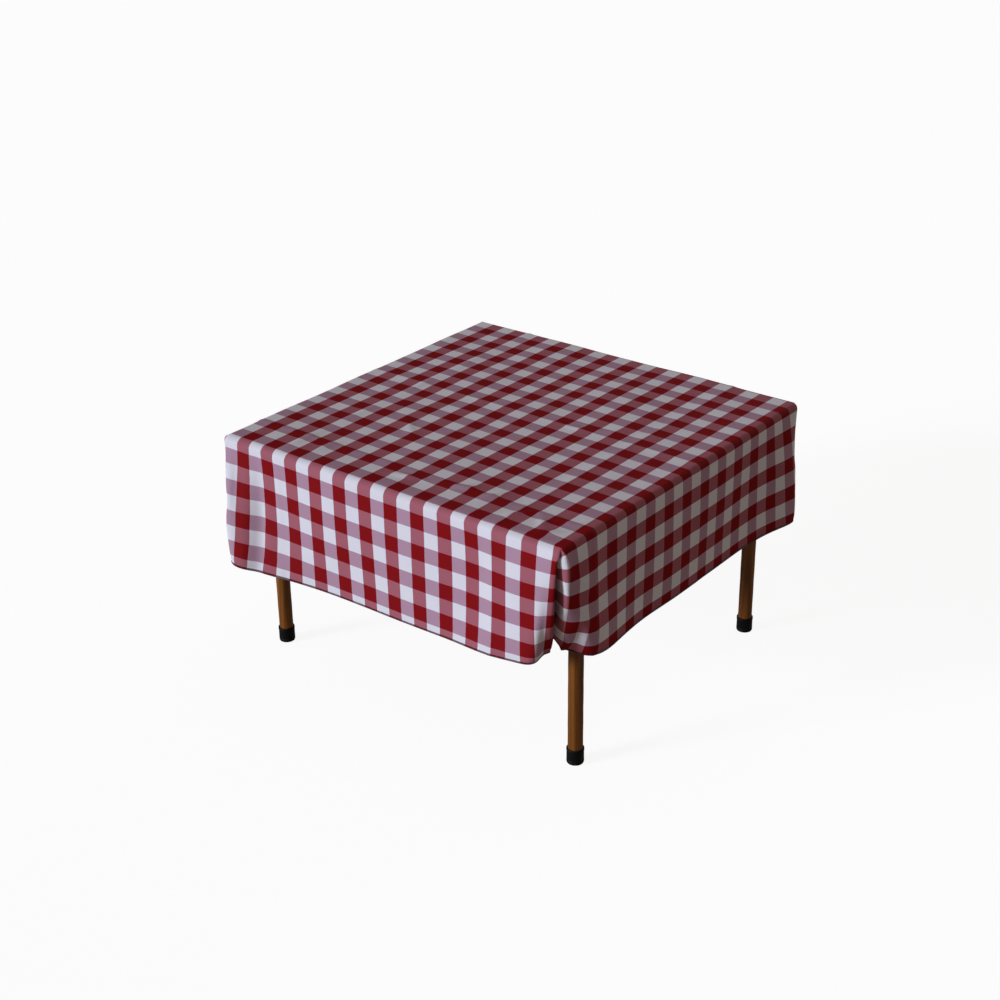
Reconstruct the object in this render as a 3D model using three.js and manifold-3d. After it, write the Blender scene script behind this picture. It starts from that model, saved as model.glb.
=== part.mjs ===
import * as THREE from 'three';
import { mergeVertices } from 'three/addons/utils/BufferGeometryUtils.js';
import Module from 'manifold-3d';

// A low folding picnic table dressed with a square checked tablecloth.
// Millimetres, +Z up. The origin is on the floor under the middle of the table.
// +X is the right side and -Y the front. Each pair of legs hinges on two bolts that
// run along Y, and folds inwards under the top. The cloth lifts straight off.

// Table top
const TABLE_LENGTH = 684; // along X, across the slats
const TABLE_WIDTH = 684; // along Y, the length of each slat
const TABLE_HEIGHT = 422; // floor to the upper face of the slats
const SLAT_COUNT = 9;
const SLAT_GAP = 4;
const SLAT_THICKNESS = 12;
const RIM_ROUND = 9; // round-over along the upper rim of the top
const PLAN_ROUND = 12; // corner radius of the top, seen from above
const BATTEN_THICKNESS = 20;
const BATTEN_HEIGHT = 36;
const END_RAIL_THICKNESS = 8;
const END_RAIL_HEIGHT = 56;
const END_RAIL_INSET = 0.5; // outer face of the rail behind the edge of the top

// Leg frames
const LEG_DIAMETER = 25;
const LEG_SIDE_INSET = 80; // leg axis to the front or back edge of the top
const LEG_CHAMFER = 1.5;
const PIVOT_DROP = 18; // bolt axis below the upper face of the battens
const STRETCHER_DIAMETER = 18;
const STRETCHER_HEIGHT = 250; // axis above the floor
const TENON_DIAMETER = 14;
const TENON_LENGTH = 14.5;
const CAP_HEIGHT = 28;
const CAP_WALL = 1.7;
const CAP_FLOOR = 4;
const CAP_CHAMFER = 1.5;

// Fasteners
const BOLT_DIAMETER = 6;
const BOLT_HEAD_DIAMETER = 14;
const BOLT_HEAD_HEIGHT = 3.2;
const WASHER_DIAMETER = 16;
const WASHER_THICKNESS = 1.5;
const NUT_WIDTH = 10; // across the flats
const NUT_HEIGHT = 5.5;
const SCREW_DIAMETER = 4;
const SCREW_HEAD_DIAMETER = 8;
const SLAT_SCREW_LENGTH = 36;
const RAIL_SCREW_LENGTH = 30;
const RAIL_SCREW_DROP = 29.5; // below the upper face of the end rail
const SCREW_POINT = 4;

// Tablecloth
const CLOTH_THICKNESS = 2.4; // cloth with the loft of its folds, not one bare layer
const CLOTH_DROP = 224; // upper face to the lower edge of the cover
const CLOTH_FLARE = 24; // how far the lower edge stands out from the table's edge
const CLOTH_SLACK = 0.6; // cloth to the side of the top
const CLOTH_PLAN_ROUND = 16; // corner radius of the cover, seen from above
const EDGING_HEIGHT = 4;
const EDGING_THICKNESS = 3.4;

// Clearance between pieces that touch, and how finely round shapes are faceted
const FIT_GAP = 0.3;
const ROUND_SIDES = 24;
const FASTENER_SIDES = 12;
const ARC_STEPS = 4;

// Places that follow from the sizes above
const topUnderside = TABLE_HEIGHT - SLAT_THICKNESS;
const battenTop = topUnderside - FIT_GAP;
const pivotZ = battenTop - PIVOT_DROP;
const legRadius = LEG_DIAMETER / 2;
const railOuterX = TABLE_LENGTH / 2 - END_RAIL_INSET;
const railInnerX = railOuterX - END_RAIL_THICKNESS;
const legX = railInnerX - FIT_GAP - legRadius;
const legY = TABLE_WIDTH / 2 - LEG_SIDE_INSET;
const washerOffset = legRadius + FIT_GAP; // outwards from the leg axis
const battenOffset = washerOffset + WASHER_THICKNESS + FIT_GAP;
const battenInnerY = legY + battenOffset;
const battenY = battenInnerY + BATTEN_THICKNESS / 2;
const battenHalfLength = railInnerX - FIT_GAP;
const slatWidth = (TABLE_LENGTH - (SLAT_COUNT - 1) * SLAT_GAP) / SLAT_COUNT;
const slatPitch = slatWidth + SLAT_GAP;

const SIDES = [
  { name: 'front', y: -1 },
  { name: 'back', y: 1 },
];
const ENDS = [
  { name: 'left', x: -1 },
  { name: 'right', x: 1 },
];

const wasm = await Module();
wasm.setup();

const materials = {
  slat: new THREE.MeshStandardMaterial({ color: 0xc08a4e, roughness: 0.5, metalness: 0 }),
  leg: new THREE.MeshStandardMaterial({ color: 0xa8742a, roughness: 0.35, metalness: 0 }),
  rubber: new THREE.MeshStandardMaterial({ color: 0x141614, roughness: 0.75, metalness: 0 }),
  steel: new THREE.MeshStandardMaterial({ color: 0xb9babc, roughness: 0.35, metalness: 1 }),
  fibre: new THREE.MeshStandardMaterial({ color: 0x6b2f1d, roughness: 0.7, metalness: 0 }),
  cloth: new THREE.MeshStandardMaterial({ color: 0xc9828f, roughness: 0.7, metalness: 0 }),
  edging: new THREE.MeshStandardMaterial({ color: 0x6a1a22, roughness: 0.8, metalness: 0 }),
};

// Solids

function toSolid(geometry) {
  const bare = geometry.clone();
  bare.deleteAttribute('normal');
  bare.deleteAttribute('uv');
  const merged = mergeVertices(bare, 1e-4);
  const corners = merged.index.array;
  const triangles = [];
  for (let i = 0; i < corners.length; i += 3) {
    const [a, b, c] = [corners[i], corners[i + 1], corners[i + 2]];
    if (a !== b && b !== c && c !== a) triangles.push(a, b, c);
  }
  const vertProperties = new Float32Array(merged.attributes.position.array);
  const triVerts = new Uint32Array(triangles);
  return new wasm.Manifold(new wasm.Mesh({ numProp: 3, vertProperties, triVerts }));
}

function toGeometry(solid) {
  const mesh = solid.getMesh();
  const geometry = new THREE.BufferGeometry();
  geometry.setAttribute('position', new THREE.BufferAttribute(mesh.vertProperties, 3));
  geometry.setIndex(new THREE.BufferAttribute(mesh.triVerts, 1));
  geometry.computeVertexNormals();
  return geometry;
}

function cut(geometry, tools) {
  let solid = toSolid(geometry);
  for (const tool of tools) solid = solid.subtract(toSolid(tool));
  return toGeometry(solid);
}

// A box from its lowest to its highest corner.
function box(low, high) {
  const [x, y, z] = high.map((value, i) => value - low[i]);
  const middle = low.map((value, i) => (value + high[i]) / 2);
  return new THREE.BoxGeometry(x, y, z).translate(...middle);
}

// A turned solid about Z, from [radius, height] pairs given upwards.
function turned(profile, sides) {
  const points = profile.map(([radius, height]) => new THREE.Vector2(radius, height));
  return new THREE.LatheGeometry(points, sides).rotateX(Math.PI / 2);
}

function rodAlongY(radius, yLow, yHigh, sides) {
  const rod = turned([[0, yLow], [radius, yLow], [radius, yHigh], [0, yHigh]], sides);
  return rod.rotateX(-Math.PI / 2);
}

function roundedOutline(halfX, halfY, radius) {
  const outline = new THREE.Shape();
  const corners = [[1, -1, -90], [1, 1, 0], [-1, 1, 90], [-1, -1, 180]];
  for (const [x, y, from] of corners) {
    const start = THREE.MathUtils.degToRad(from);
    const centreX = x * (halfX - radius);
    const centreY = y * (halfY - radius);
    outline.absarc(centreX, centreY, radius, start, start + Math.PI / 2, false);
  }
  return outline;
}

// An upright block whose upper rim is rounded over; its lower end is left long, to be cut.
function roundTopBlock(halfX, halfY, planRadius, rimRadius, bottomZ, topZ) {
  const outline = roundedOutline(halfX, halfY, planRadius);
  const block = new THREE.ExtrudeGeometry(outline, {
    depth: topZ - bottomZ - rimRadius,
    bevelEnabled: true,
    bevelThickness: rimRadius,
    bevelSize: rimRadius - 0.01,
    bevelOffset: -(rimRadius - 0.01),
    bevelSegments: ARC_STEPS,
    curveSegments: ARC_STEPS,
  });
  return block.translate(0, 0, bottomZ);
}

// Table top: slats cut out of one round-rimmed blank, and screwed to two battens.

function screw(length) {
  const radius = SCREW_DIAMETER / 2;
  const headRadius = SCREW_HEAD_DIAMETER / 2;
  const headDepth = headRadius - radius;
  const profile = [[0, -length], [radius, -length + SCREW_POINT], [radius, -headDepth]];
  return turned([...profile, [headRadius, 0], [0, 0]], FASTENER_SIDES);
}

// The countersunk hole that takes such a screw.
function screwHole(length) {
  const radius = SCREW_DIAMETER / 2 + FIT_GAP;
  const headRadius = SCREW_HEAD_DIAMETER / 2 + FIT_GAP;
  const headDepth = headRadius - radius;
  const bottom = -length - FIT_GAP;
  const profile = [[0, bottom], [radius, bottom], [radius, -headDepth], [headRadius, 0]];
  return turned([...profile, [headRadius, 1], [0, 1]], FASTENER_SIDES);
}

function slatCentreX(index) {
  return (index - (SLAT_COUNT - 1) / 2) * slatPitch;
}

function slatScrewPlaces() {
  const places = [];
  for (let index = 0; index < SLAT_COUNT; index += 1) {
    for (const side of SIDES) {
      const at = [slatCentreX(index), side.y * battenY, TABLE_HEIGHT];
      places.push({ name: `slat_screw_${index + 1}_${side.name}`, index, side, at });
    }
  }
  return places;
}

function slatGeometry(index) {
  const blank = roundTopBlock(
    TABLE_LENGTH / 2, TABLE_WIDTH / 2, PLAN_ROUND, RIM_ROUND, topUnderside - RIM_ROUND, TABLE_HEIGHT,
  );
  const x = slatCentreX(index);
  const low = [x - slatWidth / 2, -TABLE_WIDTH, topUnderside];
  const high = [x + slatWidth / 2, TABLE_WIDTH, TABLE_HEIGHT + 1];
  const slat = toSolid(blank).intersect(toSolid(box(low, high)));
  const holes = slatScrewPlaces()
    .filter((place) => place.index === index)
    .map((place) => screwHole(SLAT_SCREW_LENGTH).translate(...place.at));
  return cut(toGeometry(slat), holes);
}

function railScrewPlace(end, side) {
  const at = [end.x * railOuterX, side.y * battenY, battenTop - RAIL_SCREW_DROP];
  return { name: `rail_screw_${end.name}_${side.name}`, at, turn: end.x * Math.PI / 2 };
}

function battenGeometry(side) {
  const low = [-battenHalfLength, side.y * battenY - BATTEN_THICKNESS / 2, battenTop - BATTEN_HEIGHT];
  const high = [battenHalfLength, side.y * battenY + BATTEN_THICKNESS / 2, battenTop];
  const slatHoles = slatScrewPlaces()
    .filter((place) => place.side === side)
    .map((place) => screwHole(SLAT_SCREW_LENGTH).translate(...place.at));
  const railHoles = ENDS.map((end) => {
    const place = railScrewPlace(end, side);
    return screwHole(RAIL_SCREW_LENGTH).rotateY(place.turn).translate(...place.at);
  });
  const boltHoles = ENDS.map((end) => {
    const reach = BATTEN_THICKNESS / 2 + 1;
    const hole = rodAlongY(BOLT_DIAMETER / 2 + FIT_GAP, -reach, reach, FASTENER_SIDES);
    return hole.translate(end.x * legX, side.y * battenY, pivotZ);
  });
  return cut(box(low, high), [...slatHoles, ...railHoles, ...boltHoles]);
}

// The end rail ties the battens together, and is the stop that the open legs stand against.
function endRailGeometry(end) {
  const xs = [end.x * railInnerX, end.x * railOuterX].sort((a, b) => a - b);
  const halfWidth = battenY + BATTEN_THICKNESS / 2;
  const rail = box([xs[0], -halfWidth, battenTop - END_RAIL_HEIGHT], [xs[1], halfWidth, battenTop]);
  const holes = SIDES.map((side) => {
    const place = railScrewPlace(end, side);
    return screwHole(RAIL_SCREW_LENGTH).rotateY(place.turn).translate(...place.at);
  });
  return cut(rail, holes);
}

// Leg and its fittings, about the leg's axis, with the batten on the -Y side.

function legGeometry() {
  const bottom = CAP_FLOOR + FIT_GAP;
  const profile = [[0, bottom], [legRadius - LEG_CHAMFER, bottom], [legRadius, bottom + LEG_CHAMFER]];
  for (let step = 0; step <= ARC_STEPS; step += 1) {
    const angle = (step / ARC_STEPS) * (Math.PI / 2);
    const radius = step === ARC_STEPS ? 0 : legRadius * Math.cos(angle);
    profile.push([radius, pivotZ + legRadius * Math.sin(angle)]);
  }
  const leg = turned(profile, ROUND_SIDES);
  const reach = legRadius + 1;
  const boltHole = rodAlongY(BOLT_DIAMETER / 2 + FIT_GAP, -reach, reach, FASTENER_SIDES);
  const socketFloor = legRadius - TENON_LENGTH - FIT_GAP;
  const socket = rodAlongY(TENON_DIAMETER / 2 + FIT_GAP, socketFloor, reach, FASTENER_SIDES);
  return cut(leg, [boltHole.translate(0, 0, pivotZ), socket.translate(0, 0, STRETCHER_HEIGHT)]);
}

function capGeometry() {
  const inner = legRadius + FIT_GAP;
  const outer = inner + CAP_WALL;
  const outside = [[0, 0], [outer - CAP_CHAMFER, 0], [outer, CAP_CHAMFER], [outer, CAP_HEIGHT]];
  return turned([...outside, [inner, CAP_HEIGHT], [inner, CAP_FLOOR], [0, CAP_FLOOR]], ROUND_SIDES);
}

function stretcherGeometry() {
  const shoulder = legY - legRadius - FIT_GAP;
  const end = legY - legRadius + TENON_LENGTH;
  const [rod, tenon] = [STRETCHER_DIAMETER / 2, TENON_DIAMETER / 2];
  const upward = [[0, -end], [tenon, -end], [tenon, -shoulder], [rod, -shoulder]];
  const mirrored = upward.map(([radius, height]) => [radius, -height]).reverse();
  return turned([...upward, ...mirrored], ROUND_SIDES).rotateX(-Math.PI / 2);
}

// Round-headed bolt with its head on the batten and its end just past the nut.
function boltGeometry() {
  const radius = BOLT_DIAMETER / 2;
  const headRadius = BOLT_HEAD_DIAMETER / 2;
  const headFace = battenOffset + BATTEN_THICKNESS + FIT_GAP;
  const end = -(legRadius + 2 * FIT_GAP + NUT_HEIGHT + 1);
  const profile = [[0, end], [radius, end], [radius, headFace], [headRadius, headFace]];
  for (let step = 1; step <= ARC_STEPS; step += 1) {
    const angle = (step / ARC_STEPS) * (Math.PI / 2);
    const reach = step === ARC_STEPS ? 0 : headRadius * Math.cos(angle);
    profile.push([reach, headFace + BOLT_HEAD_HEIGHT * Math.sin(angle)]);
  }
  return turned(profile, FASTENER_SIDES).rotateX(Math.PI / 2);
}

function ringAlongY(outline, boreRadius, yLow, height) {
  const bore = new THREE.Path();
  bore.absarc(0, 0, boreRadius, 0, 2 * Math.PI, false);
  outline.holes.push(bore);
  const settings = { depth: height, bevelEnabled: false, curveSegments: FASTENER_SIDES };
  const ring = new THREE.ExtrudeGeometry(outline, settings);
  return ring.rotateX(-Math.PI / 2).rotateX(Math.PI).translate(0, yLow + height, 0);
}

function washerGeometry() {
  const outline = new THREE.Shape();
  outline.absarc(0, 0, WASHER_DIAMETER / 2, 0, 2 * Math.PI, false);
  const yLow = -washerOffset - WASHER_THICKNESS;
  return ringAlongY(outline, BOLT_DIAMETER / 2 + FIT_GAP, yLow, WASHER_THICKNESS);
}

function nutGeometry() {
  const cornerRadius = NUT_WIDTH / 2 / Math.cos(Math.PI / 6);
  const corners = [0, 1, 2, 3, 4, 5].map((corner) => {
    const angle = (corner * Math.PI) / 3;
    return new THREE.Vector2(cornerRadius * Math.cos(angle), cornerRadius * Math.sin(angle));
  });
  const outline = new THREE.Shape(corners);
  return ringAlongY(outline, BOLT_DIAMETER / 2 + FIT_GAP, legRadius + FIT_GAP, NUT_HEIGHT);
}

// Tablecloth: a cover that lies on the top, turns over its rim and flares to the hem.

const clothInnerTop = TABLE_HEIGHT + FIT_GAP;
const clothOuterTop = clothInnerTop + CLOTH_THICKNESS;
const hemZ = clothOuterTop - CLOTH_DROP;
const clothInnerRim = RIM_ROUND + CLOTH_SLACK;
const clothInnerX = TABLE_LENGTH / 2 + CLOTH_SLACK;
const clothInnerY = TABLE_WIDTH / 2 + CLOTH_SLACK;

// grow is how far this face of the cover lies outside its inner face.
function coverBlock(grow, below) {
  const halfX = clothInnerX + grow;
  const halfY = clothInnerY + grow;
  const rim = clothInnerRim + grow;
  const topZ = clothInnerTop + grow;
  const round = CLOTH_PLAN_ROUND - CLOTH_THICKNESS + grow;
  const block = roundTopBlock(halfX, halfY, round, rim, hemZ - below, topZ);
  const position = block.attributes.position;
  const flareFrom = clothInnerTop - clothInnerRim;
  for (let i = 0; i < position.count; i += 1) {
    const fall = Math.max(0, flareFrom - position.getZ(i)) / (flareFrom - hemZ);
    const stretchX = 1 + (CLOTH_FLARE * fall) / halfX;
    const stretchY = 1 + (CLOTH_FLARE * fall) / halfY;
    position.setXY(i, position.getX(i) * stretchX, position.getY(i) * stretchY);
  }
  return block;
}

function tableclothGeometry() {
  const cover = toSolid(coverBlock(CLOTH_THICKNESS, 40)).subtract(toSolid(coverBlock(0, 60)));
  const reach = TABLE_LENGTH + TABLE_WIDTH;
  const clothEnd = hemZ + EDGING_HEIGHT + FIT_GAP;
  const below = box([-reach, -reach, -reach], [reach, reach, clothEnd]);
  return cut(toGeometry(cover), [below]);
}

function hemEdgingGeometry() {
  const outerX = clothInnerX + CLOTH_THICKNESS + CLOTH_FLARE;
  const outerY = clothInnerY + CLOTH_THICKNESS + CLOTH_FLARE;
  const round = CLOTH_PLAN_ROUND;
  const outline = roundedOutline(outerX, outerY, round);
  const inside = roundedOutline(
    outerX - EDGING_THICKNESS, outerY - EDGING_THICKNESS, round - EDGING_THICKNESS,
  );
  outline.holes.push(new THREE.Path(inside.getPoints(ARC_STEPS)));
  const settings = { depth: EDGING_HEIGHT, bevelEnabled: false, curveSegments: ARC_STEPS };
  return new THREE.ExtrudeGeometry(outline, settings).translate(0, 0, hemZ);
}

// Assembly

const model = new THREE.Group();

function add(parent, name, geometry, material, at = [0, 0, 0]) {
  const mesh = new THREE.Mesh(geometry, material);
  mesh.name = name;
  mesh.position.set(...at);
  parent.add(mesh);
  return mesh;
}

for (let index = 0; index < SLAT_COUNT; index += 1) {
  add(model, `slat_${index + 1}`, slatGeometry(index), materials.slat);
}
for (const side of SIDES) {
  add(model, `batten_${side.name}`, battenGeometry(side), materials.slat);
}
for (const place of slatScrewPlaces()) {
  add(model, place.name, screw(SLAT_SCREW_LENGTH), materials.steel, place.at);
}
for (const end of ENDS) {
  add(model, `end_rail_${end.name}`, endRailGeometry(end), materials.slat);
  add(model, `stretcher_${end.name}`, stretcherGeometry(), materials.leg,
    [end.x * legX, 0, STRETCHER_HEIGHT]);
  for (const side of SIDES) {
    const place = railScrewPlace(end, side);
    const railScrew = add(model, place.name, screw(RAIL_SCREW_LENGTH), materials.steel, place.at);
    railScrew.rotation.y = place.turn;

    const corner = `${side.name}_${end.name}`;
    const group = new THREE.Group();
    group.position.set(end.x * legX, side.y * legY, 0);
    group.rotation.z = side.y > 0 ? Math.PI : 0;
    add(group, `leg_${corner}`, legGeometry(), materials.leg);
    add(group, `foot_cap_${corner}`, capGeometry(), materials.rubber);
    add(group, `pivot_bolt_${corner}`, boltGeometry(), materials.steel, [0, 0, pivotZ]);
    add(group, `pivot_washer_${corner}`, washerGeometry(), materials.fibre, [0, 0, pivotZ]);
    add(group, `pivot_nut_${corner}`, nutGeometry(), materials.steel, [0, 0, pivotZ]);
    model.add(group);
  }
}
add(model, 'tablecloth', tableclothGeometry(), materials.cloth);
add(model, 'hem_edging', hemEdgingGeometry(), materials.edging);

export default model;
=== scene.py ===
import math

import bmesh
import bpy
import numpy as np
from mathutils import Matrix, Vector


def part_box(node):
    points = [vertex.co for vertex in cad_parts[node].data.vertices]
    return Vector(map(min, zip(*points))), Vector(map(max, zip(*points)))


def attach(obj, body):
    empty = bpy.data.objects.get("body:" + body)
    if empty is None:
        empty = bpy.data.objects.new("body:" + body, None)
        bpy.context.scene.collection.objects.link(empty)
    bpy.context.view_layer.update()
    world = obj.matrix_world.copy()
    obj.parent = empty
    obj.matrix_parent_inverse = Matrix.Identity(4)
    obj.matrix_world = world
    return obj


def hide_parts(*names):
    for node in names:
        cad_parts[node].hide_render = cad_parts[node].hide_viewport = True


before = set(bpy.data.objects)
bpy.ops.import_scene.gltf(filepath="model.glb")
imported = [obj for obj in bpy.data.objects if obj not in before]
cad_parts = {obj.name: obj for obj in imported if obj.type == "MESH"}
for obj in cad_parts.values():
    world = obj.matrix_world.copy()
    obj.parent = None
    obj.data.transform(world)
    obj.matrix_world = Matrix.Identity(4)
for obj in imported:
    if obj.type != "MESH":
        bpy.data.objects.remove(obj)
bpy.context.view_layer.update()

# A square checked tablecloth over a low folding table of varnished wood.
# Metres, +Z up, -Y the front, +X the right.

# ---------------------------------------------------------------- sizes

# The cloth as it was woven and cut
CLOTH_SIDE = 1.128  # flat side of the square, before its corners were rounded
CLOTH_THICKNESS = 0.0008
CLOTH_SHIFT_X = 0.006  # how far the middle of the cloth lies from the table's
CLOTH_SHIFT_Y = 0.005
CHECK_X = 0.0271  # width of one check along X, and along Y
CHECK_Y = 0.02606
CHECK_TURN_X = math.radians(-0.21)  # the weave lies a hair askew on the table, and is not quite square
CHECK_TURN_Y = math.radians(-0.32)
CHECK_START = (12.182, 11.378)  # checks at the table's middle, counted from a white one
THREADS = 34  # threads across one check

# How it lies on the table
CLOTH_LIFT = 0.0030  # middle of the cloth above the wood
# Its turn over the rim, side by side: how far out of the wood's edge the drop hangs, and
# the radius of the turn. It is snug on three sides and lies loose on the right.
RIM = {"front": (0.003, 0.012), "left": (0.005, 0.005), "right": (0.0145, 0.010), "back": (0.005, 0.005)}
TOP_CELLS = 78
RIM_CELLS = 4
HANG_CELLS = 22

# How each drop hangs. Each line gives a place along the side, how far the hem stands
# out from the rim, how far it is carried along the side, and the belly at mid height.
HANG = {
    "front": [
        (-0.345, 0.047, 0.021, 0.003), (-0.291, 0.036, 0.018, -0.002), (-0.264, 0.026, 0.017, -0.004),
        (-0.237, 0.018, 0.016, -0.003), (-0.180, 0.012, 0.014, 0.001), (-0.040, 0.008, 0.012, 0.002),
        (0.060, 0.009, 0.010, 0.001), (0.120, 0.009, 0.009, -0.001), (0.180, 0.014, 0.008, -0.005),
        (0.224, 0.016, 0.006, -0.003), (0.254, 0.012, 0.005, 0.001), (0.280, 0.009, 0.003, 0.003),
        (0.306, 0.002, 0.001, 0.005), (0.333, -0.018, -0.022, 0.007),
    ],
    "right": [
        (-0.334, -0.030, 0.021, 0.012), (-0.308, -0.024, 0.018, 0.012), (-0.282, 0.001, 0.002, 0.006),
        (-0.256, 0.009, 0.003, 0.000), (-0.232, 0.009, 0.003, -0.002), (-0.205, 0.003, 0.002, 0.001),
        (-0.160, -0.002, 0.002, 0.000), (-0.050, 0.000, 0.002, 0.001), (0.080, 0.001, 0.002, 0.000),
        (0.175, 0.002, 0.001, 0.000), (0.240, 0.009, 0.000, 0.001), (0.285, 0.021, -0.002, 0.001),
        (0.316, 0.0225, 0.007, 0.001), (0.334, 0.014, 0.007, -0.001), (0.345, 0.000, 0.002, -0.003),
    ],
    "back": [
        (-0.345, 0.034, 0.010, 0.002), (-0.250, 0.017, 0.006, 0.002), (-0.120, 0.008, 0.002, 0.003),
        (0.020, 0.012, 0.000, 0.001), (0.160, 0.006, -0.002, 0.002), (0.270, 0.012, -0.004, 0.003),
        (0.345, 0.022, -0.006, 0.004),
    ],
    "left": [
        (-0.345, 0.006, -0.010, 0.004), (-0.240, 0.012, -0.004, 0.002), (-0.080, 0.008, 0.000, 0.002),
        (0.090, 0.013, 0.000, -0.002), (0.230, 0.010, -0.004, 0.002), (0.345, 0.030, -0.012, 0.003),
    ],
}
# Where the cloth was tugged when it was laid: place along the side, how far the drop is
# lifted, and how far it is slid along the rim.
TUG = {
    "front": [(-0.345, -0.002, 0.0), (0.120, 0.0, 0.0), (0.250, 0.005, 0.0), (0.345, 0.013, 0.006)],
    "right": [(-0.345, 0.004, 0.001), (-0.270, 0.005, -0.003), (-0.180, 0.005, -0.001), (0.100, 0.0065, 0.0),
              (0.285, 0.009, 0.0), (0.345, 0.001, 0.0)],
    "back": [(-0.345, 0.0, 0.0), (0.345, 0.002, 0.0)],
    "left": [(-0.345, 0.0, 0.0), (0.345, 0.0, 0.0)],
}
# The fullness at each corner is folded in behind a crease. Where the crease starts under
# the rim and where its foot is, outward along X and along Y from the end of the flat top.
CREASE_HEAD = {
    ("front", "right"): (0.000, 0.012), ("front", "left"): (0.004, 0.011),
    ("back", "right"): (0.001, 0.002), ("back", "left"): (0.005, 0.005),
}
CREASE_FOOT = {
    ("front", "right"): (-0.042, -0.026), ("front", "left"): (-0.029, 0.056),
    ("back", "right"): (-0.002, 0.006), ("back", "left"): (0.022, 0.030),
}
# How far the cloth stands proud of the corner just under the rim, along X and along Y.
EAR = {("front", "left"): (0.013, -0.004), ("front", "right"): (0.002, 0.000),
       ("back", "left"): (0.006, 0.006), ("back", "right"): (0.001, 0.001)}
# How far each drop runs on before the crease, under the rim and at the hem: the front or
# back one, then the side one.
RUN_ON = {
    ("front", "right"): ((0.001, 0.032), (0.027, 0.022)), ("front", "left"): ((0.004, 0.004), (0.006, 0.006)),
    ("back", "right"): ((0.008, 0.008), (0.008, 0.008)), ("back", "left"): ((0.008, 0.008), (0.008, 0.008)),
}
# How deep the folded layers lie behind the drop in front of them, at their widest.
PLEAT_WIDTH = {
    ("front", "right"): 0.030, ("front", "left"): 0.036,
    ("back", "right"): 0.040, ("back", "left"): 0.040,
}
PLEAT_GAP = 0.006  # between a drop and the first layer behind it
PLEAT_CURL = 0.003  # how soft the crease is
CURL_SPAN = 0.035  # the share of the folded hem that curls over at each end
GAP_SPAN = 0.08  # the share of it over which the gap opens
FLARE_SPAN = 0.12  # the end of a drop that its flare is taken from
FLARE_LIMIT = 0.13  # how deep behind a drop its flare is still followed
EAR_PLACE = 0.036  # how far past the flat top an ear stands out most

# How it settles
SETTLE_FRAMES = 16
SETTLE_HOLD = 0.5  # how well the cloth under the rim remembers how it was laid
HEM_HOLD = 0.4  # the share of that which is left at the hem
HOLD_SPAN = 0.2  # over how much cloth it fades to that
HOLD_STEPS = 40
HELD_RIM = 0.012  # how far past the flat top the cloth doesn't move at all
EASE_SPAN = 0.03  # how far past the flat top the easing reaches its full strength
EASE_TIMES = 4

# Hem
EDGING_HEIGHT = 0.0042
EDGING_DEPTH = 0.0024
STITCH_PITCH = 0.0030

# Wood and fittings
POLE_SIDES = 48
SOFT_CORNER = 0.0008  # on the sawn boards
# Which finish each board and fitting has, by how its name starts
FRAME_FINISH = [
    ("slat_screw", "steel"), ("rail_screw", "steel"), ("pivot_bolt", "steel"), ("pivot_nut", "steel"),
    ("pivot_washer", "fibre"), ("slat_", "slat"), ("batten_", "batten"), ("end_rail_", "slat"),
]

# ---------------------------------------------------------------- finishes


class Socket:
    """A value inside a finish. Sums on it add the nodes that do them."""

    def __init__(self, finish, socket):
        self.finish, self.socket = finish, socket

    def sum(self, operation, *parts):
        return self.finish.node("ShaderNodeMath", {"operation": operation}, dict(enumerate(parts)))

    def __add__(self, other):
        return self.sum("ADD", self, other)

    def __radd__(self, other):
        return self.sum("ADD", other, self)

    def __sub__(self, other):
        return self.sum("SUBTRACT", self, other)

    def __rsub__(self, other):
        return self.sum("SUBTRACT", other, self)

    def __mul__(self, other):
        return self.sum("MULTIPLY", self, other)

    def __rmul__(self, other):
        return self.sum("MULTIPLY", other, self)

    def __abs__(self):
        return self.sum("ABSOLUTE", self)

    def part(self):
        return self.sum("FRACT", self)

    def sine(self):
        return self.sum("SINE", self)

    def at_least(self, other):
        return self.sum("MAXIMUM", self, other)

    def at_most(self, other):
        return self.sum("MINIMUM", self, other)

    def held(self):
        """The value kept from 0 to 1."""
        return self.at_least(0.0).at_most(1.0)


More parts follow.
